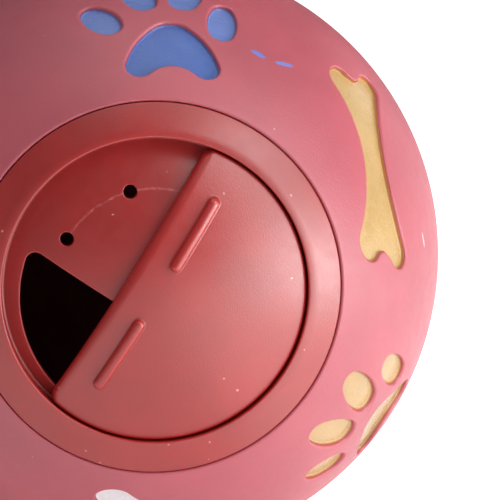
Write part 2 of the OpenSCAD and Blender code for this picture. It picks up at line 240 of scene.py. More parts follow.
def toe_outline(length, width):
    wide_r, tip_r = width * TOE_BASE_SHARE, width * TOE_TIP_SHARE
    mean_r, reach = (wide_r + tip_r) / 2, length - wide_r - tip_r
    side_r = ((width**2 + reach**2) / 4 - mean_r**2) / (width - 2 * mean_r)
    wide = (0, wide_r - length / 2)
    tip = (0, wide[1] + reach)
    side = bow_middle(wide, wide_r, tip, tip_r, side_r)
    low, high = way(side, wide), way(side, tip)
    return np.concatenate([
        arc(wide, wide_r, -180 - low, low),
        arc(side, side_r, low, high)[1:-1],
        arc(tip, tip_r, high, 180 - high),
        arc((-side[0], side[1]), side_r, 180 - high, 180 - low)[1:-1],
    ])


def bone_outline():
    knob = (BONE_L / 2 - KNOB_ROUND, BONE_W / 2 - KNOB_ROUND)
    drop = knob[1] - BONE_WAIST / 2
    side_r = (knob[0] ** 2 + drop**2 - KNOB_ROUND**2) / (2 * (KNOB_ROUND + drop))
    side_y = side_r + BONE_WAIST / 2
    notch_x = knob[0] + math.sqrt((KNOB_ROUND + NOTCH_ROUND) ** 2 - knob[1] ** 2)
    to_side, to_notch = way(knob, (0, side_y)), way(knob, (notch_x, 0))
    half = np.concatenate([
        arc(knob, KNOB_ROUND, to_notch, to_side),
        arc((0, side_y), side_r, to_side - 180, -to_side)[1:-1],
        arc((-knob[0], knob[1]), KNOB_ROUND, 180 - to_side, 180 - to_notch),
        arc((-notch_x, 0), NOTCH_ROUND, -to_notch, 0)[1:],
    ])
    flat = np.concatenate([half, -half])
    flat[:, 1] -= BONE_BOW * (1 - (2 * flat[:, 0] / BONE_L) ** 2)
    return flat


def round_segment(r, edge, corner):
    """A disc of radius r beyond a straight edge at x = edge, with round corners."""
    x = edge + corner
    y = math.sqrt((r - corner) ** 2 - x**2)
    a = way((0, 0), (x, y))
    return np.concatenate([
        arc((0, 0), r, -a, a, 180)[1:-1],
        arc((x, y), corner, a, 180),
        arc((x, -y), corner, 180, 360 - a),
    ])


def bar_outline():
    """One finger rib, seen from above, with round ends."""
    r = RIB_W / 2
    return np.concatenate([
        arc((0, RIB_START + RIB_L - r), r, 0, 180),
        arc((0, RIB_START + r), r, 180, 360),
    ])


class Outline:
    """A closed flat outline, anticlockwise, with its outward normals, in millimetres."""

    def __init__(self, points, spacing):
        loop = np.concatenate([points, points[:1]])
        along = np.concatenate([[0], np.cumsum(np.linalg.norm(np.diff(loop, axis=0), axis=1))])
        at = np.linspace(0, along[-1], int(along[-1] / spacing) + 1)[:-1]
        self.points = np.stack([np.interp(at, along, loop[:, i]) for i in (0, 1)], 1)
        ahead = np.roll(self.points, -1, 0) - np.roll(self.points, 1, 0)
        normals = np.stack([ahead[:, 1], -ahead[:, 0]], 1)
        self.normals = normals / np.linalg.norm(normals, axis=1)[:, None]

    def offset(self, amount):
        """The outline moved outwards, by one amount or by one for each point."""
        return self.points + np.reshape(amount, (-1, 1)) * self.normals

    def distance(self, flat):
        """How far flat points lie outside the outline; inside is negative."""
        a, b = self.points, np.roll(self.points, -1, 0)
        to_point, side = flat[:, None] - a, b - a
        share = np.clip((to_point * side).sum(2) / (side * side).sum(1), 0, 1)
        gap = np.linalg.norm(to_point - share[:, :, None] * side, axis=2).min(1)
        y = flat[:, 1:]
        crossing = (a[:, 1] > y) != (b[:, 1] > y)
        slope = (b[:, 0] - a[:, 0]) / np.where(side[:, 1] == 0, 1, side[:, 1])
        left = flat[:, :1] < a[:, 0] + slope * (y - a[:, 1])
        inside = (crossing & left).sum(1) % 2 == 1
        return np.where(inside, -gap, gap)


def lift(flat, radius):
    """Flat points set on a dome of that radius about the ball's middle."""
    return np.column_stack([flat, np.sqrt(radius**2 - (flat**2).sum(1))])


def shape_outlines(kind):
    if kind == "bone":
        return [Outline(bone_outline(), 0.5)]
    toes = [
        turned(toe_outline(TOE_L * long, TOE_W * wide), lean) + PAD_W * np.array(place)
        for place, long, wide, lean in TOES
    ]
    return [Outline(points, 0.5) for points in [pad_outline(), *toes]]


def shape_frame(angles):
    """The turn that takes a shape's own frame, z out of the ball, to the mouth's frame."""
    polar, azimuth, turn = (math.radians(a) for a in angles)
    return np.array(
        Matrix.Rotation(azimuth, 3, "Z")
        @ Matrix.Rotation(polar, 3, "Y")
        @ Matrix.Rotation(turn - math.pi / 2, 3, "Z")
    )


# ---- Mesh making ----

def sweep(bm, rings):
    """Draws the first ring, extrudes it through the others, and returns the end rings' edges."""
    ring = [bm.verts.new(p) for p in rings[0]]
    edges = [bm.edges.new(pair) for pair in zip(ring, ring[1:] + ring[:1])]
    first = list(edges)
    for points in rings[1:]:
        made = bmesh.ops.extrude_edge_only(bm, edges=edges)["geom"]
        fresh = {v for v in made if isinstance(v, bmesh.types.BMVert)}
        ring = [
            next(o for o in (e.other_vert(v) for e in v.link_edges) if o in fresh) for v in ring
        ]
        for v, p in zip(ring, points):
            v.co = p
        edges = [bm.edges.get(pair) for pair in zip(ring, ring[1:] + ring[:1])]
    return first, edges


def spun(bm, profile, steps=240):
    """Spins a profile of (radius, height) about the pivot's axis and returns its end loops."""
    verts = [bm.verts.new((r, 0, z)) for r, z in profile]
    edges = [bm.edges.new(pair) for pair in zip(verts, verts[1:])]
    bmesh.ops.spin(
        bm, geom=verts + edges, cent=(0, 0, 0), axis=(0, 0, 1), angle=math.tau, steps=steps,
        use_merge=True,
    )
    return loop_at(bm, *profile[0]), loop_at(bm, *profile[-1])


def loop_at(bm, r, z, slack=0.002):
    """Boundary edges on the circle of that radius and height."""
    return [
        e for e in bm.edges
        if e.is_boundary
        and all(abs(v.co.z - z) < slack and abs(v.co.xy.length - r) < slack for v in e.verts)
    ]


def dome_patch(bm, radius, detail, keep):
    """The part of a fine ball whose corners keep() wants, without loose edges or pinched corners.

    keep takes an array of points and returns a mask. The patch's corners are returned.
    """
    patch = bmesh.ops.create_icosphere(bm, subdivisions=detail, radius=radius)["verts"]
    mask = keep(np.array([v.co for v in patch]))
    bad = [v for v, k in zip(patch, mask) if not k]
    while bad:
        bmesh.ops.delete(bm, geom=bad, context="VERTS")
        bmesh.ops.delete(bm, geom=[e for e in bm.edges if e.is_wire], context="EDGES")
        patch = [v for v in patch if v.is_valid]
        bad = [v for v in patch if sum(e.is_boundary for e in v.link_edges) > 2 or not v.link_faces]
    return patch


def open_edges(bm, patch):
    own = set(patch)
    return [e for e in bm.edges if e.is_boundary and e.verts[0] in own]


def fill_dome(bm, radius, keep, edges):
    """Fills in a plain dome between the edges, round the corners that keep() wants."""
    patch = dome_patch(bm, radius, PLAIN, keep)
    fill(bm, open_edges(bm, patch) + edges)


def open_loops(bm, patch):
    """A patch's open edges, sorted into closed loops."""
    edges = open_edges(bm, patch)
    seen, loops = set(), []
    for start in edges:
        loop, todo = [], [start]
        while todo:
            e = todo.pop()
            if e not in seen:
                seen.add(e)
                loop.append(e)
                todo += [o for v in e.verts for o in v.link_edges if o.is_boundary]
        if loop:
            loops.append(loop)
    return loops


def fill(bm, edges, normal=(0, 0, 1)):
    bmesh.ops.triangle_fill(bm, use_beauty=True, use_dissolve=False, edges=edges, normal=normal)


def off_axis(points):
    return np.hypot(points[:, 0], points[:, 1])


def points_of(bm):
    return np.array([v.co[:] for v in bm.verts])


def middles(edges):
    return np.array([(e.verts[0].co + e.verts[1].co) / 2 for e in edges]).reshape(-1, 3)


def rounded(centre, r, start, end, steps=6):
    """Profile points on a rounding, as (radius, height)."""
    return [tuple(p) for p in arc(centre, r, start, end, steps)]


def on_dome(r, radius):
    """A profile point on a dome about the ball's middle, as (radius, height)."""
    return (r, math.sqrt(radius**2 - r**2))


def quarter(r, steps):
    """A quarter rounding of radius r in equal steps, as pairs of how far out and how far down."""
    turns = np.linspace(0, math.pi / 2, steps + 1)
    return [(r * (1 - math.sin(a)), r * (1 - math.cos(a))) for a in turns]


def round_outline(centre, r, spacing, steps=24):
    return Outline(arc(centre, r, 0, 360, steps)[:-1], spacing)


def unit_circle():
    return round_outline((0, 0), 1.0, 0.0655, 96)


def level(circle, r, z):
    """The unit circle's points at a radius and a height."""
    return np.column_stack([circle.points * r, np.full(len(circle.points), z)])


def add_object(name, data):
    made = bpy.data.objects.new(name, data)
    bpy.context.collection.objects.link(made)
    return made


def add_mesh(bm, name, material):
    mesh = bpy.data.meshes.new(name)
    bm.to_mesh(mesh)
    bm.free()
    mesh.materials.append(material)
    return add_object(name, mesh)


def finish_piece(bm, name, body, material, nodes, sharp=40):
    """Closes a piece: normals outwards, into the part's frame, smooth, on its body."""
    bmesh.ops.remove_doubles(bm, verts=bm.verts, dist=WELD)
    bmesh.ops.recalc_face_normals(bm, faces=bm.faces)
    bmesh.ops.transform(bm, matrix=TO_PART, verts=bm.verts)
    piece = add_mesh(bm, name, material)
    piece.data.shade_smooth()
    piece.data.set_sharp_from_angle(angle=math.radians(sharp))
    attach(piece, body)
    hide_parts(*nodes)


# ---- Materials ----

def linear(colour):
    return [c / 12.92 if c <= 0.04045 else ((c + 0.055) / 1.055) ** 2.4 for c in colour] + [1]


def darker(colour, share):
    return [c * share for c in colour[:3]] + [1]


class Tree:
    """Short calls to add and link nodes."""

    def __init__(self, tree):
        self.tree = tree

    def add(self, kind, settings=None, **sockets):
        node = self.tree.nodes.new(kind)
        for key, value in (settings or {}).items():
            setattr(node, key, value)
        for key, value in sockets.items():
            place = int(key[1:]) if key[1:].isdigit() else key.replace("_", " ")
            self.give(node.inputs[place], value)
        return node

    def give(self, socket, value):
        """Links a socket to another one, or sets its constant."""
        if isinstance(value, bpy.types.NodeSocket):
            self.tree.links.new(value, socket)
        else:
            socket.default_value = value

    def math(self, operation, a, b=0.0, clamp=False):
        settings = {"operation": operation, "use_clamp": clamp}
        return self.add("ShaderNodeMath", settings, i0=a, i1=b).outputs[0]

    def less(self, value):
        return self.math("SUBTRACT", 1.0, value)

    def product(self, *values):
        made = values[0]
        for value in values[1:]:
            made = self.math("MULTIPLY", made, value)
        return made

    def ramp(self, value, low, high, to_low=0.0, to_high=1.0):
        """A smooth step from to_low at low to to_high at high."""
        return self.add(
            "ShaderNodeMapRange", {"interpolation_type": "SMOOTHSTEP"}, Value=value,
            From_Min=low, From_Max=high, To_Min=to_low, To_Max=to_high,
        ).outputs["Result"]

    def mix(self, share, a, b):
        return self.add("ShaderNodeMix", {"data_type": "RGBA"}, i0=share, i6=a, i7=b).outputs[2]

    def noise(self, vector, scale, detail=2.0, roughness=0.5):
        return self.add(
            "ShaderNodeTexNoise", Vector=vector, Scale=scale, Detail=detail, Roughness=roughness,
        ).outputs["Fac"]


def blank_tree(owner):
    """The emptied node tree of a material or the world."""
    owner.use_nodes = True
    owner.node_tree.nodes.clear()
    return owner.node_tree


def group(name, inputs, outputs):
    """A shader group from a vector and values to values, as tree, its inputs and its outputs."""
    made = bpy.data.node_groups.new(name, "ShaderNodeTree")
    sockets = [("Vector", "INPUT", "Vector"), *((label, "INPUT", "Float") for label in inputs)]
    sockets += [(label, "OUTPUT", "Float") for label in outputs]
    for label, side, kind in sockets:
        socket = made.interface.new_socket(name=label, in_out=side, socket_type="NodeSocket" + kind)
        if label in inputs:
            socket.default_value = inputs[label]
    tree = Tree(made)
    return tree, tree.add("NodeGroupInput").outputs, tree.add("NodeGroupOutput").inputs


def make_grain_group():
    """Fine satin grain of moulded plastic, as a height and as a tone from 0 to 1."""
    t, given, out = group("Satin_Grain", {"Grains per metre": 3000.0}, ["Height", "Tone"])
    vector, fine = given[0:2]
    small = t.noise(vector, fine, 2.0, 0.6)
    wide = t.noise(vector, t.product(fine, 0.14), 3.0, 0.55)
    t.give(out[0], t.math("ADD", t.product(small, 0.92), t.product(wide, 0.08)))
    t.give(out[1], t.ramp(wide, 0.3, 0.7))
    return t.tree


def make_speck_group():
    """Sparse pale specks of dust and small nicks, as a mask."""
    inputs = {"Cells per metre": 450.0, "Share": 0.06, "Size": 0.12}
    t, given, out = group("Dust_Specks", inputs, ["Mask"])
    vector, cells, share, size = given[0:4]
    ragged = t.add("ShaderNodeTexNoise", Vector=vector, Scale=1800.0, Detail=1.0).outputs["Color"]
    push = t.add("ShaderNodeVectorMath", {"operation": "SCALE"}, i0=ragged, Scale=0.0006).outputs[0]
    warped = t.add("ShaderNodeVectorMath", {"operation": "ADD"}, i0=vector, i1=push).outputs[0]
    cell = t.add("ShaderNodeTexVoronoi", Vector=warped, Scale=cells, Randomness=1.0)
    pick = t.add("ShaderNodeSeparateColor", Color=cell.outputs["Color"]).outputs[0]
    chosen = t.math("LESS_THAN", pick, share)
    near = t.math("SUBTRACT", 1.0, t.math("DIVIDE", cell.outputs["Distance"], size), clamp=True)
    t.give(out[0], t.product(chosen, t.ramp(near, 0.0, 0.6)))
    return t.tree


def make_scuff_group():
    """Faint rubbed streaks, long along X, as a mask."""
    t, given, out = group("Rubbed_Streaks", {"Streaks per metre": 220.0}, ["Mask"])
    long = t.add("ShaderNodeMapping", Vector=given[0], Scale=(0.12, 1.0, 1.0)).outputs[0]
    streak, patch = t.noise(long, given[1], 4.0, 0.62), t.noise(given[0], 40.0, 2.0)
    t.give(out[0], t.product(t.ramp(streak, 0.6, 0.74), t.ramp(patch, 0.5, 0.7)))
    return t.tree


def shared_group(name):
    makers = {
        "Satin_Grain": make_grain_group,
        "Dust_Specks": make_speck_group,
        "Rubbed_Streaks": make_scuff_group,
    }
    return bpy.data.node_groups.get(name) or makers[name]()


class Finish(Tree):
    """One material: a Principled shader with its Object coordinates and shared effects."""

    def __init__(self, name, **constants):
        self.material = bpy.data.materials.new(name)
        super().__init__(blank_tree(self.material))
        self.shader = self.add("ShaderNodeBsdfPrincipled", **constants)
        self.add("ShaderNodeOutputMaterial", Surface=self.shader.outputs[0])
        self.place = self.add("ShaderNodeTexCoord").outputs["Object"]

    def effect(self, name, **sockets):
        made = {"node_tree": shared_group(name)}
        return self.add("ShaderNodeGroup", made, Vector=self.place, **sockets).outputs

    def set(self, socket, value):
        self.give(self.shader.inputs[socket], value)

    def satin(self, grains, smooth, rough, depth):
        """Roughness and bumps from the satin grain, whose tone is returned."""
        grain = self.effect("Satin_Grain", Grains_per_metre=grains)
        bump = self.add("ShaderNodeBump", Height=grain["Height"], Strength=1.0, Distance=depth)
        self.set("Roughness", self.ramp(grain["Tone"], 0.0, 1.0, smooth, rough))
        self.set("Normal", bump.outputs[0])
        return grain["Tone"]

    def clouded(self, base, scale, dark, high=0.7):
        """A colour with slight darker clouds."""
        cloud = self.noise(self.place, scale, 3.0)
        return self.mix(self.ramp(cloud, 0.3, high), darker(base, dark), base)

    def cover(self, base, mask, strength, shade):
        """A colour laid over another one where the mask is."""
        return self.mix(self.product(mask, strength), base, linear(shade))

    def wobble(self, scale, detail, amount):
        """Noise about nought, which makes an edge ragged."""
        noise = self.noise(self.place, scale, detail)
        return self.product(self.math("SUBTRACT", noise, 0.5), amount)


def mark(f, base, place, along, half_length, half_width, shade, strength):
    """Adds a thin mark to a colour, at a place on the ball and along a direction over it."""
    out, ahead = Vector(place).normalized(), Vector(along)
    ahead = (ahead - out * ahead.dot(out)).normalized()
    turn = Matrix((ahead, out.cross(ahead), out)).transposed().to_euler()
    mapped = f.add(
        "ShaderNodeMapping", {"vector_type": "TEXTURE"}, Vector=f.place,
        Location=Vector(place) * MM, Rotation=turn,
        Scale=Vector((half_length, half_width, MARK_REACH)) * MM,
    ).outputs[0]
    reach = f.add("ShaderNodeVectorMath", {"operation": "LENGTH"}, i0=mapped).outputs["Value"]
    mask = f.ramp(f.math("ADD", reach, f.wobble(1800.0, 2.0, 0.7)), 0.75, 1.05, strength, 0.0)
    return f.mix(mask, base, linear(shade))


def vinyl_finish(settings):
    f = Finish(
        "soft_vinyl", IOR=1.73,
        Subsurface_Weight=0.4, Subsurface_Scale=0.0016, Subsurface_Radius=(1.0, 0.25, 0.2),
    )
    colour = f.clouded(linear(settings.vinyl_colour), 45.0, 0.86)
    specks = f.effect("Dust_Specks", Cells_per_metre=330.0, Share=0.02, Size=0.09)["Mask"]
    colour = f.cover(colour, specks, 0.35, (0.93, 0.75, 0.78))
    for place, along, half_length, half_width, shade, strength in MARKS:
        colour = mark(f, colour, place, along, half_length, half_width, shade, strength)
    f.set("Base Color", colour)
    f.satin(2600.0, 0.44, 0.50, 0.00004)
    return f.material


def plastic_finish(name, colour, scuffed=False):
    f = Finish(
        name, IOR=1.92,
        Subsurface_Weight=0.6, Subsurface_Scale=0.002, Subsurface_Radius=(1.0, 0.12, 0.08),
    )
    tone = f.clouded(linear(colour), 70.0, 0.84)
    specks = f.effect("Dust_Specks", Cells_per_metre=420.0, Share=0.07, Size=0.12)["Mask"]
    tone = f.cover(tone, specks, 0.6, (0.93, 0.70, 0.68))
    tone = f.cover(tone, f.effect("Rubbed_Streaks")["Mask"], 0.06, (0.90, 0.60, 0.58))
    if scuffed:
        tone = f.cover(tone, scuff_arc(f), 0.5, (0.86, 0.48, 0.46))
    f.set("Base Color", tone)
    f.satin(3200.0, 0.36, 0.41, 0.00003)
    return f.material


def scuff_arc(f):
    """The pale line that the click nub rubs into the recess floor, as a mask."""
    x, y, z = f.add("ShaderNodeSeparateXYZ", Vector=f.place).outputs[0:3]
    away = f.math("SQRT", f.math("ADD", f.product(x, x), f.product(z, z)))
    away = f.math("ADD", away, f.wobble(120.0, 1.0, 0.0003))
    off = f.math("ABSOLUTE", f.math("SUBTRACT", away, CLICK_R * MM))
    line = f.ramp(off, 0.00005, 0.0003, 1.0, 0.0)
    angle = f.math("ARCTAN2", z, x)
    start, full, fade, end = (math.radians(a) for a in SCUFF_ARC)
    travel = f.product(f.ramp(angle, start, full), f.ramp(angle, fade, end, 1.0, 0.0))
    worn = f.ramp(f.noise(f.place, 900.0, 3.0, 0.6), 0.3, 0.62)
    on_floor = f.math("LESS_THAN", y, -SCUFF_FRONT * MM)
    return f.product(line, travel, worn, on_floor)


def paint_finish(name, colour, edge, pale=0.03):
    """Paint that thins out to its edge colour where it creeps up the walls of a sunk shape, with a
    painted shade on the paws' pads and a painted sheen, of share pale, on their toes.
    """
    f = Finish(name, IOR=1.5)
    base = linear(colour)
    tone = f.clouded(base, 160.0, 0.9, 0.72)
    # Painted light: the attribute read here darkens the paws' pads as a painted shade and lightens
    # their toes towards white as a painted sheen, by the share pale
    shade = f.add("ShaderNodeAttribute", {"attribute_name": "PaintedLight"}).outputs["Fac"]
    pad_painted_shade = f.ramp(shade, PAD_PAINTED_SHADE, BONE_NO_PAINTED_LIGHT, 0.22, 0.0)
    light = f.ramp(shade, BONE_NO_PAINTED_LIGHT, TOE_PAINTED_SHEEN, 0.0, pale)
    tone = f.mix(pad_painted_shade, tone, darker(base, 0.1))
    tone = f.mix(light, tone, linear((0.93, 0.93, 0.95)))
    away = f.add("ShaderNodeVectorMath", {"operation": "LENGTH"}, i0=f.place).outputs["Value"]
    away = f.math("ADD", away, f.wobble(500.0, 2.0, 0.00025))
    thin = f.ramp(away, (BALL_R - THICK_PAINT) * MM, (BALL_R - THIN_PAINT) * MM)
    f.set("Base Color", f.mix(thin, tone, linear(edge)))
    f.satin(2200.0, 0.22, 0.34, 0.00005)
    return f.material


def zinc_finish():
    f = Finish("zinc_steel", Metallic=1.0)
    tone = f.satin(1500.0, 0.28, 0.42, 0.00002)
    f.set("Base Color", f.mix(tone, linear((0.70, 0.71, 0.72)), linear((0.80, 0.81, 0.82))))
    return f.material


# ---- Settings ----

def number(name, description, default, **kind):
    return FloatProperty(name=name, description=description, default=default, **kind)


def length(name, description, default, low=0.0, high=0.1):
    return number(
        name, description, default, min=low, max=high,
        precision=5, unit="LENGTH", subtype="DISTANCE",
    )


def colour(name, description, default):
    return FloatVectorProperty(
        name=name, description=description, default=default, min=0, max=1, size=3,
        subtype="COLOR_GAMMA",
    )


class BallSettings(bpy.types.PropertyGroup):
    wall: length("Wall", "Wall of the soft shell", 0.004)
    shape_depth: length("Shape depth", "Depth of the sunk paws and bones", 0.0012)
    rim_round: length("Rim rounding", "Rounding of the sunk shapes' upper edges", 0.0005)
    floor_round: length("Floor rounding", "Rounding at the sunk shapes' floors", 0.0003)
    mouth_round: length("Mouth rounding", "Rounding of the mouth's edge", 0.0004)
    vinyl_colour: colour("Vinyl", "Colour of the soft ball", (0.72, 0.325, 0.375))


class PaintSettings(bpy.types.PropertyGroup):
    top_depth: length("Coat depth", "Depth of the coat's face under the ball's surface", 0.000975)
    coat: length("Coat", "Thickness of the coat of paint", 0.00008)
    blue: colour("Blue", "Colour of the blue paint", (0.325, 0.45, 0.75))
    yellow: colour("Yellow", "Colour of the yellow paint", (0.745, 0.61, 0.40))
    white: colour("White", "Colour of the white paint", (0.895, 0.88, 0.89))


class CapSettings(bpy.types.PropertyGroup):
    ring_round: length("Ring rounding", "Rounding of the ring's inner edge", 0.0003)
    ring_roll: length("Ring roll-off", "Width of the strip that rolls off to the recess", 0.002)
    ring_drop: length("Ring drop", "How far the ring's face rolls off at its inner edge", 0.00045)
    dial_rim_round: length("Dial rim rounding", "Rounding of the dial's round rim", 0.0005)
    dial_edge_round: length("Dial edge rounding", "Rounding of the dial's straight edge", 0.0015)
    rib_round: length("Rib rounding", "Rounding along the top of the finger ribs", 0.0009)
    cap_colour: colour("Cap", "Colour of the ring and the recess", (0.66, 0.11, 0.098))
    dial_colour: colour("Dial", "Colour of the dial", (0.67, 0.108, 0.096))


class StageSettings(bpy.types.PropertyGroup):
    azimuth: number("Azimuth", "Camera angle round the ball", math.radians(-4.46), subtype="ANGLE")
    elevation: number("Elevation", "Camera angle above level", math.radians(7.72), subtype="ANGLE")
    distance: length("Distance", "Camera distance in front of the ball's middle", 0.65, 0.1, 10.0)
    lens: number("Lens", "Focal length", 251.13, min=10, unit="CAMERA")
    key_power: number("Key power", "Power of all the softboxes", 3.25, min=0, unit="POWER")
    sky: number("Sky", "Strength of the plain light from all round", 0.37, min=0)
    floor_glow: number("Floor glow", "Own light of the pale floor", 0.46, min=0)


# ---- Pieces ----

def shape_list():
    """Each shape's turn to the mouth's frame, and its outlines."""
    return {
        name: (shape_frame(angles), shape_outlines(name.split("_")[2]))
        for name, angles in SHAPES.items()
    }


def near_shape(points, turn, reach=30.0):
    """Points in a shape's own frame, and a mask of those on its side of the ball and near it."""
    local = points @ turn
    radius = np.linalg.norm(points, axis=1)
    return local, local[:, 2] > radius * math.cos(reach / BALL_R)


def loop_owner(points, shapes):
    """The shape that a loop of the surface lies round, and the outline that it lies inside."""
    beside = 3.0
    for name, (turn, outlines) in shapes.items():
        local, near = near_shape(points, turn, 26.0)
        if near.all():
            away = np.stack([o.distance(local[:, :2]) for o in outlines], 1)
            for n in range(len(outlines)):
                if away[:, n].max() < 0:
                    return name, n
            if away.min(1).max() < beside:
                return name, None
    return "mouth", None


def sink(loop, radius):
    """Moves the surface inside a loop down to the floor's radius."""
    todo = [v for e in loop for v in e.verts]
    done = set(todo)
    while todo:
        v = todo.pop()
        v.co = v.co.normalized() * radius
        for e in v.link_edges:
            o = e.other_vert(v)
            if o not in done:
                done.add(o)
                todo.append(o)


class TREATBALL_OT_ball_skin(bpy.types.Operator):
    """Build the soft ball with its sunk, round-edged shapes, its mouth and its inner wall"""

    bl_idname = "treatball.ball_skin"
    bl_label = "Ball Skin"

    def execute(self, context):
        s = context.scene.treatball_ball
        depth, rim, low = s.shape_depth / MM, s.rim_round / MM, s.floor_round / MM
        inner_r = BALL_R - s.wall / MM
        # Strip beyond each rounding, lean of the walls, and gap to the corners of the fine dome
        guard, draft, clear = 0.1, 0.06, 0.42
        mouth_strip, inner_strip, inner_clear = 1.0, 2.0, 0.8
        shapes = shape_list()
        bm = bmesh.new()

        # Mouth: from the outer surface round the edge, down the seat and the lip to the inside
        edge_r = s.mouth_round / MM
        edge = on_dome(SEAT_R + edge_r, BALL_R - edge_r)
        outer_r, inside_r = edge[0] + mouth_strip, LIP_R + inner_strip
        profile = [on_dome(outer_r, BALL_R)]
        profile += rounded(edge, edge_r, way((0, 0), edge), 180, 8)
        profile += [(SEAT_R, SEAT_Z), (MOUTH_R, SEAT_Z)]
        profile += [(MOUTH_R, LIP_BOTTOM_Z), (LIP_R, LIP_BOTTOM_Z)]
        profile += [on_dome(LIP_R, inner_r), on_dome(inside_r, inner_r)]
        outer_loop, inner_loop = spun(bm, profile)

        # Rims, walls and floor edges of the sunk shapes
        sides = [(rim + guard, 0), *quarter(rim, 5)]
        sides += [(-draft - down, depth - out) for out, down in quarter(low, 5)[::2]]
        sides += [(-draft - low - guard, depth)]
        loops = {
            name: [
                sweep(bm, [lift(o.offset(out), BALL_R - down) @ turn.T for out, down in sides])
                for o in outlines
            ]
            for name, (turn, outlines) in shapes.items()
        }

        # The smooth surface between them, and the floors
        def outside(points):
            keep = (points[:, 2] < 0) | (off_axis(points) > outer_r + clear)
            for turn, outlines in shapes.values():
                local, near = near_shape(points, turn)
                for o in outlines:
                    away = o.distance(local[near, :2])
                    beyond, within = rim + guard + clear, -draft - low - guard - clear
                    keep[near] &= (away > beyond) | (away < within)
            return keep

        patch = dome_patch(bm, BALL_R, FINE, outside)
        tops = {name: [e for first, last in rings for e in first] for name, rings in loops.items()}
        tops["mouth"] = outer_loop + tops.pop(BY_THE_MOUTH)
        for loop in open_loops(bm, patch):
            name, n = loop_owner(middles(loop), shapes)
            if n is None:
                tops["mouth" if name == BY_THE_MOUTH else name] += loop
            else:
                sink(loop, BALL_R - depth)
                fill(bm, loop + loops[name][n][1], shapes[name][0][:, 2])
        for name, edges in tops.items():
            fill(bm, edges, (0, 0, 1) if name == "mouth" else shapes[name][0][:, 2])

        # The inner wall
        def inside(points):
            return (points[:, 2] < 0) | (off_axis(points) > inside_r + inner_clear)

        fill_dome(bm, inner_r, inside, inner_loop)
        finish_piece(bm, "soft_ball", "ball", vinyl_finish(s), ["ball_shell"])
        return {"FINISHED"}


class TREATBALL_OT_painted_shapes(bpy.types.Operator):
    """Build the coats of paint that cover the sunk shapes' floors and creep up their walls"""

    bl_idname = "treatball.painted_shapes"
    bl_label = "Painted Shapes"

    def execute(self, context):
        s = context.scene.treatball_paint
        face, coat = s.top_depth / MM, s.coat / MM
        finishes = {
            # The blue toes take the strongest painted sheen
            "blue": paint_finish("blue_paint", s.blue, (0.46, 0.42, 0.62), 0.09),
            # Thin yellow paint over the red vinyl turns orange. Its edge colour is also darkened to
            # orange-brown as a painted shade on the shapes' walls.
            "yellow": paint_finish("yellow_paint", s.yellow, (0.74, 0.47, 0.25)),
            "white": paint_finish("white_paint", s.white, (0.90, 0.84, 0.85)),
        }
        for name, (turn, outlines) in shape_list().items():
            paint, kind = name.split("_")[1:]
            sides = [(COAT_TOP, COAT_CLIMB[kind])] + [(out, face - up) for out, up in COAT_STEPS]
            bm = bmesh.new()
            ends = [
                sweep(bm, [lift(o.offset(out), BALL_R - down) @ turn.T for out, down in sides])[1]
                for o in outlines
            ]

            def inside(points):
                keep = np.zeros(len(points), bool)
                local, near = near_shape(points, turn)
                for o in outlines:
                    keep[near] |= o.distance(local[near, :2]) < COAT_FACE
                return keep

            patch = dome_patch(bm, BALL_R - face, FINE, inside)
            borders = open_edges(bm, patch)
            local = middles(borders) @ turn
            for o, end in zip(outlines, ends):
                own = np.flatnonzero(o.distance(local[:, :2]) < 0)
                fill(bm, [borders[i] for i in own] + end, turn[:, 2])
            bmesh.ops.recalc_face_normals(bm, faces=bm.faces)
            # Each corner's share of painted light: a painted shade on the pad, a painted sheen on
            # the toes, neither on bones
            shade = bm.verts.layers.float.new("PaintedLight")
            at_pad = outlines[0].distance((points_of(bm) @ turn)[:, :2]) < PAD_MARGIN
            for v, pad in zip(bm.verts, at_pad):
                v[shade] = BONE_NO_PAINTED_LIGHT if kind == "bone" else PAD_PAINTED_SHADE if pad else TOE_PAINTED_SHEEN
            if sum(f.normal.dot(f.calc_center_median()) for f in bm.faces) < 0:
                bmesh.ops.reverse_faces(bm, faces=bm.faces)
            bmesh.ops.solidify(bm, geom=bm.faces[:], thickness=coat)
            finish_piece(
                bm, "paint_" + name, "ball", finishes[paint],
                [name + "_paint"], sharp=60,
            )
        return {"FINISHED"}


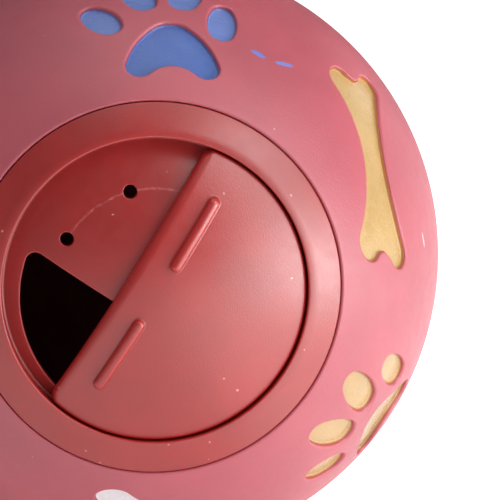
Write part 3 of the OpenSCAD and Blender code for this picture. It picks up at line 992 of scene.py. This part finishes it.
class TREATBALL_OT_cap_housing(bpy.types.Operator):
    """Build the cap: ring, recess, tube with snap barb, and floor with its openings and hub"""

    bl_idname = "treatball.cap_housing"
    bl_label = "Cap Housing"

    def execute(self, context):
        s = context.scene.treatball_cap
        bm = bmesh.new()
        ring, roll, drop = s.ring_round / MM, s.ring_roll / MM, s.ring_drop / MM
        corner, lip, chamfer, strip = 0.4, 0.2, 0.2, 0.15
        floor_end, under_end, hole_round, click_round = 25.7, 26.2, 0.25, 0.15
        # Gaps beside the rim, the hub and the holes, to the corners of the fine domes
        rim_gap, bore_gap, hub_gap, top_gap, under_gap = 0.7, 1.0, 0.8, 0.7, 0.6
        low = on_dome(RECESS_R - corner, FLOOR_R + corner)
        outer = on_dome(RING_R - lip, RING_FACE_R - lip)

        def face_z(r):
            """Height of the ring's face, which rolls off gently towards the recess."""
            away = max(0, 1 - (r - RECESS_R) / roll)
            return on_dome(r, RING_FACE_R)[1] - drop * away**2

        middle = RECESS_R + ring
        turn = math.atan2(ring, face_z(middle) - face_z(middle + ring))
        start = middle + ring * math.cos(turn)
        inner = (middle, face_z(start) - ring * math.sin(turn))
        profile = [on_dome(floor_end, FLOOR_R), *rounded(low, corner, way(low, (0, 0)), 0)]
        profile += rounded(inner, ring, 180, math.degrees(turn), 8)
        rolled = np.linspace(start, RECESS_R + roll, 12)[1:]
        even = np.linspace(RECESS_R + roll, RING_R - lip - 0.1, 6)[1:]
        profile += [(r, face_z(r)) for r in (*rolled, *even)]
        profile += rounded(outer, lip, way((0, 0), outer), 0)
        profile += [(RING_R, SEAT_Z + chamfer), (RING_R - chamfer, SEAT_Z), (NECK_R, SEAT_Z), *BARB]
        profile += [on_dome(TUBE_R, FLOOR_UNDER_R), on_dome(under_end, FLOOR_UNDER_R)]
        floor_loop, under_loop = spun(bm, profile)

        # Openings through the floor: rounded above, plain below
        segment = round_segment(OPENING_R, OPENING_EDGE - OPENING_SHIFT, OPENING_CORNER)
        opening = Outline(turned(segment + (OPENING_SHIFT, 0), OPENING_ANGLE), 0.6)
        holes = [(opening, hole_round)]
        for i in range(CLICK_COUNT):
            turn = math.radians(OPENING_ANGLE + 90 + CLICK_LEAD + i * CLICK_STEP)
            at = (CLICK_R * math.cos(turn), CLICK_R * math.sin(turn))
            holes.append((round_outline(at, CLICK_HOLE_R, 0.25), click_round))
        tops, unders = [], []
        for o, r in holes:
            brink = [(r + strip, 0), *quarter(r, 4)]
            rings = [lift(o.offset(out), FLOOR_R - down) for out, down in brink]
            rings += [lift(o.offset(0), FLOOR_UNDER_R)]
            first, last = sweep(bm, rings)
            tops += first
            unders += last

        # Hub: bore from the floor's face down, round its end and up its outside
        circle = unit_circle()
        entry = [(0.4, 0), (0.25, 0), (0.07, 0.07), (0, 0.25)]
        foot = [(HUB_BORE_R, chamfer), (HUB_BORE_R + chamfer, 0)]
        foot += [(HUB_R - chamfer, 0), (HUB_R, chamfer)]
        rings = [lift(circle.points * (HUB_BORE_R + out), FLOOR_R - down) for out, down in entry]
        rings += [level(circle, r, HUB_BOTTOM_Z + up) for r, up in foot]
        rings += [lift(circle.points * HUB_R, FLOOR_UNDER_R)]
        first, last = sweep(bm, rings)
        tops += first
        unders += last

        # Floor and underside, filled in round the holes and the hub
        def face(outer, hub, clear):
            def keep(points):
                flat, away = points[:, :2], off_axis(points)
                mask = (points[:, 2] > 0) & (away < outer) & (away > hub)
                index = np.flatnonzero(mask)
                for o, r in holes:
                    mask[index] &= o.distance(flat[index]) > r + clear
                return mask

            return keep

        above = face(floor_end - rim_gap, HUB_BORE_R + bore_gap, top_gap)
        below = face(under_end - rim_gap, HUB_R + hub_gap, under_gap)
        fill_dome(bm, FLOOR_R, above, floor_loop + tops)
        fill_dome(bm, FLOOR_UNDER_R, below, under_loop + unders)
        plastic = plastic_finish("cap_plastic", s.cap_colour, scuffed=True)
        finish_piece(
            bm, "cap_ring_and_recess", "ball", plastic, ["cap_housing"], sharp=50,
        )
        return {"FINISHED"}


class TREATBALL_OT_shutter_dial(bpy.types.Operator):
    """Build the turning dial: domed part-disc, finger ribs, pivot and click nub"""

    bl_idname = "treatball.shutter_dial"
    bl_label = "Shutter Dial"

    def execute(self, context):
        s = context.scene.treatball_cap
        bm = bmesh.new()
        # Strips beyond the plate's and the ribs' edges, and gap to the corners of the fine domes
        guard, strip, clear, pivot_gap = 0.3, 0.15, 0.5, 1.0

        # Rim: rounded tightly round the disc and widely along the straight edge
        plate = Outline(round_segment(DIAL_R, -DIAL_EDGE, DIAL_CORNER), 0.6)
        under, blend_from, blend_over = 0.25, 0.35, 0.6
        straight = np.clip((-plate.normals[:, 0] - blend_from) / blend_over, 0, 1)
        straight = straight * straight * (3 - 2 * straight)
        r = (s.dial_rim_round + (s.dial_edge_round - s.dial_rim_round) * straight) / MM
        rings = [lift(plate.offset(-r - guard), DIAL_FACE_R)]
        for out, down in quarter(r, 6):
            flat = plate.offset(-out)
            rings.append(lift(flat, DIAL_FACE_R) - np.column_stack([0 * flat, down]))
        for out, up in ((0, under), (-0.3 * under, 0.3 * under), (-under, 0), (-under - guard, 0)):
            rings.append(lift(plate.offset(out), DIAL_UNDER_R) + (0, 0, up))
        rim_top, rim_under = sweep(bm, rings)

        # Finger ribs, with a small rounding at the foot and a full one along the top
        foot, draft, crown = 0.25, 0.05, s.rib_round / MM
        sides = [(foot + strip, 0), *quarter(foot, 3)]
        sides += [(-draft - down, RIB_H - out) for out, down in quarter(crown, 6)]
        ribs = [Outline(bar_outline(), 0.3), Outline(-bar_outline(), 0.3)]
        tops = []
        for o in ribs:
            first, last = sweep(bm, [lift(o.offset(out), DIAL_FACE_R + up) for out, up in sides])
            tops += first
            fill(bm, last)

        def above(points):
            flat, mask = points[:, :2], points[:, 2] > 0
            index = np.flatnonzero(mask)
            mask[index] = plate.distance(flat[index]) < -r.min() - guard - clear
            mask &= points[:, 0] > -DIAL_EDGE + r.max() + guard + clear
            for o in ribs:
                mask[index] &= o.distance(flat[index]) > foot + strip + clear
            return mask

        fill_dome(bm, DIAL_FACE_R, above, rim_top + tops)

        # Pivot with the screw's pilot hole, and the click nub
        circle = unit_circle()
        root = [(0.5, 0), (0.3, 0), (0.08, 0.08), (0, 0.3)]
        pivot = [(PIVOT_R, 0.4), (PIVOT_R - 0.4, 0)]
        pivot += [(PILOT_R + 0.2, 0), (PILOT_R, 0.2), (PILOT_R, PILOT_DEPTH)]
        rings = [lift(circle.points * (PIVOT_R + out), DIAL_UNDER_R - down) for out, down in root]
        rings += [level(circle, radius, PIVOT_BOTTOM_Z + up) for radius, up in pivot]
        pivot_loop, hole_end = sweep(bm, rings)
        fill(bm, hole_end)
        nub_at = turned(np.array([(0, CLICK_R)]), CLICK_LEAD)[0]
        nub = round_outline(nub_at, NUB_R, 0.25)
        nub_foot = 0.4
        nub_rings = [
            (nub_foot, DIAL_UNDER_R), (0.12, DIAL_UNDER_R), (0, DIAL_UNDER_R - 0.1),
            (-0.05, NUB_TIP_R + 0.2), (-0.2, NUB_TIP_R + 0.05), (-0.4, NUB_TIP_R),
        ]
        nub_loop, nub_tip = sweep(bm, [lift(nub.offset(out), radius) for out, radius in nub_rings])
        fill(bm, nub_tip)

        def below(points):
            flat, mask = points[:, :2], points[:, 2] > 0
            index = np.flatnonzero(mask)
            mask[index] = plate.distance(flat[index]) < -under - guard - clear
            mask[index] &= nub.distance(flat[index]) > nub_foot + clear
            return mask & (off_axis(points) > PIVOT_R + pivot_gap)

        fill_dome(bm, DIAL_UNDER_R, below, rim_under + pivot_loop + nub_loop)
        turn = Matrix.Rotation(math.radians(DIAL_ANGLE), 3, "Z")
        bmesh.ops.rotate(bm, verts=bm.verts, cent=(0, 0, 0), matrix=turn)
        plastic = plastic_finish("dial_plastic", s.dial_colour)
        finish_piece(bm, "dial", "dial", plastic, ["shutter_dial"], sharp=50)
        return {"FINISHED"}


class TREATBALL_OT_pivot_fixings(bpy.types.Operator):
    """Give the pivot's screw and washer their zinc-plated steel"""

    bl_idname = "treatball.pivot_fixings"
    bl_label = "Pivot Fixings"

    def execute(self, context):
        zinc = zinc_finish()
        for name in ("pivot_screw", "pivot_washer"):
            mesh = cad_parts[name].data
            mesh.materials.clear()
            mesh.materials.append(zinc)
        return {"FINISHED"}


def facing(azimuth, elevation):
    """The turn of a lamp or camera that looks at the ball's middle from those angles."""
    return Matrix.Rotation(azimuth, 3, "Z") @ Matrix.Rotation(math.pi / 2 - elevation, 3, "X")


def make_floor(glow):
    bm = bmesh.new()
    bmesh.ops.create_grid(bm, x_segments=8, y_segments=8, size=FLOOR_HALF)
    bmesh.ops.translate(bm, verts=bm.verts, vec=(0, 0, -BALL_R * MM))
    material = bpy.data.materials.new("pale_floor")
    floor = add_mesh(bm, "floor", material)
    t = Tree(blank_tree(material))
    path = t.add("ShaderNodeLightPath").outputs
    place = t.add("ShaderNodeTexCoord").outputs["Object"]
    along = t.add("ShaderNodeSeparateXYZ", Vector=place).outputs["X"]
    # Mirrored, the floor is white at the right and dim at the left
    lit = t.product(path["Is Glossy Ray"], t.ramp(along, *LIT_FLOOR))
    unlit = t.math("SUBTRACT", path["Is Glossy Ray"], lit)
    seen = t.math("MAXIMUM", path["Is Camera Ray"], path["Is Transmission Ray"])
    seen = t.math("MAXIMUM", seen, lit)
    own = t.product(t.less(t.product(unlit, FLOOR_LOSS)), glow)
    strength = t.math("ADD", t.product(seen, FLOOR_WHITE), own)
    pale = t.add("ShaderNodeEmission", Strength=strength)
    matt = t.add("ShaderNodeBsdfDiffuse", Color=(0.9, 0.9, 0.9, 1))
    both = t.add("ShaderNodeAddShader", i0=pale.outputs[0], i1=matt.outputs[0])
    t.add("ShaderNodeOutputMaterial", Surface=both.outputs[0])


def make_sky(context, strength):
    world = bpy.data.worlds.new("plain_sky")
    context.scene.world = world
    t = Tree(blank_tree(world))
    path = t.add("ShaderNodeLightPath").outputs
    # White for the camera, plain for the object, and dimmer where the object mirrors it
    dim = t.less(t.product(path["Is Glossy Ray"], SKY_LOSS))
    plain, white = (
        t.add("ShaderNodeBackground", Color=(1, 1, 1, 1), Strength=value).outputs[0]
        for value in (t.product(dim, strength), 1.0)
    )
    mixed = t.add("ShaderNodeMixShader", i0=path["Is Camera Ray"], i1=plain, i2=white)
    t.add("ShaderNodeOutputWorld", Surface=mixed.outputs[0])


def make_lamp(name, azimuth, elevation, distance, size, power):
    light = bpy.data.lights.new(name, "AREA")
    light.shape = "RECTANGLE"
    light.size, light.size_y = size
    light.energy = power
    lamp = add_object(name, light)
    turn = facing(math.radians(azimuth), math.radians(elevation))
    lamp.matrix_world = turn.to_4x4()
    lamp.location = turn.col[2] * distance


def make_camera(context, s):
    data = bpy.data.cameras.new("camera")
    data.sensor_width = 36.0
    data.lens = s.lens
    data.clip_start, data.clip_end = 0.01, 100.0
    camera = add_object("camera", data)
    turn = facing(s.azimuth, s.elevation)
    right, up, back = turn.col
    scale = s.distance * data.sensor_width / data.lens / PICTURE_W
    across = (BALL_IN_PICTURE[0] - PICTURE_W / 2) * scale
    above = (PICTURE_W / 2 - BALL_IN_PICTURE[1]) * scale
    camera.matrix_world = turn.to_4x4()
    camera.location = back * s.distance - right * across - up * above
    context.scene.camera = camera


class TREATBALL_OT_stage(bpy.types.Operator):
    """Set up the pale floor, the soft studio light and the camera"""

    bl_idname = "treatball.stage"
    bl_label = "Stage"

    def execute(self, context):
        s = context.scene.treatball_stage
        make_floor(s.floor_glow)
        make_sky(context, s.sky)
        for name, share, azimuth, elevation, distance, size in LAMPS:
            make_lamp(name, azimuth, elevation, distance, size, s.key_power * share)
        make_camera(context, s)
        context.scene.view_settings.view_transform = "Standard"
        return {"FINISHED"}


OPERATORS = [
    TREATBALL_OT_ball_skin, TREATBALL_OT_painted_shapes, TREATBALL_OT_cap_housing,
    TREATBALL_OT_shutter_dial, TREATBALL_OT_pivot_fixings, TREATBALL_OT_stage,
]


class TREATBALL_PT_pieces(bpy.types.Panel):
    """Lists the ball's pieces, with the sizes and colours they are built from"""

    bl_label = "Treat Dispensing Ball"
    bl_idname = "TREATBALL_PT_pieces"
    bl_space_type = "VIEW_3D"
    bl_region_type = "UI"
    bl_category = "Treat Ball"

    def draw(self, context):
        for operator in OPERATORS:
            self.layout.operator(operator.bl_idname)
        for name in SETTINGS:
            settings = getattr(context.scene, name)
            box = self.layout.box()
            for prop in type(settings).__annotations__:
                box.prop(settings, prop)


SETTINGS = {
    "treatball_ball": BallSettings,
    "treatball_paint": PaintSettings,
    "treatball_cap": CapSettings,
    "treatball_stage": StageSettings,
}


def register():
    for cls in [*SETTINGS.values(), *OPERATORS, TREATBALL_PT_pieces]:
        bpy.utils.register_class(cls)
    for name, cls in SETTINGS.items():
        setattr(bpy.types.Scene, name, PointerProperty(type=cls))


def unregister():
    for name in SETTINGS:
        delattr(bpy.types.Scene, name)
    for cls in [TREATBALL_PT_pieces, *OPERATORS, *SETTINGS.values()]:
        bpy.utils.unregister_class(cls)


def main():
    register()
    bpy.ops.treatball.ball_skin()
    bpy.ops.treatball.painted_shapes()
    bpy.ops.treatball.cap_housing()
    bpy.ops.treatball.shutter_dial()
    bpy.ops.treatball.pivot_fixings()
    bpy.ops.treatball.stage()


if __name__ == "__main__":
    main()
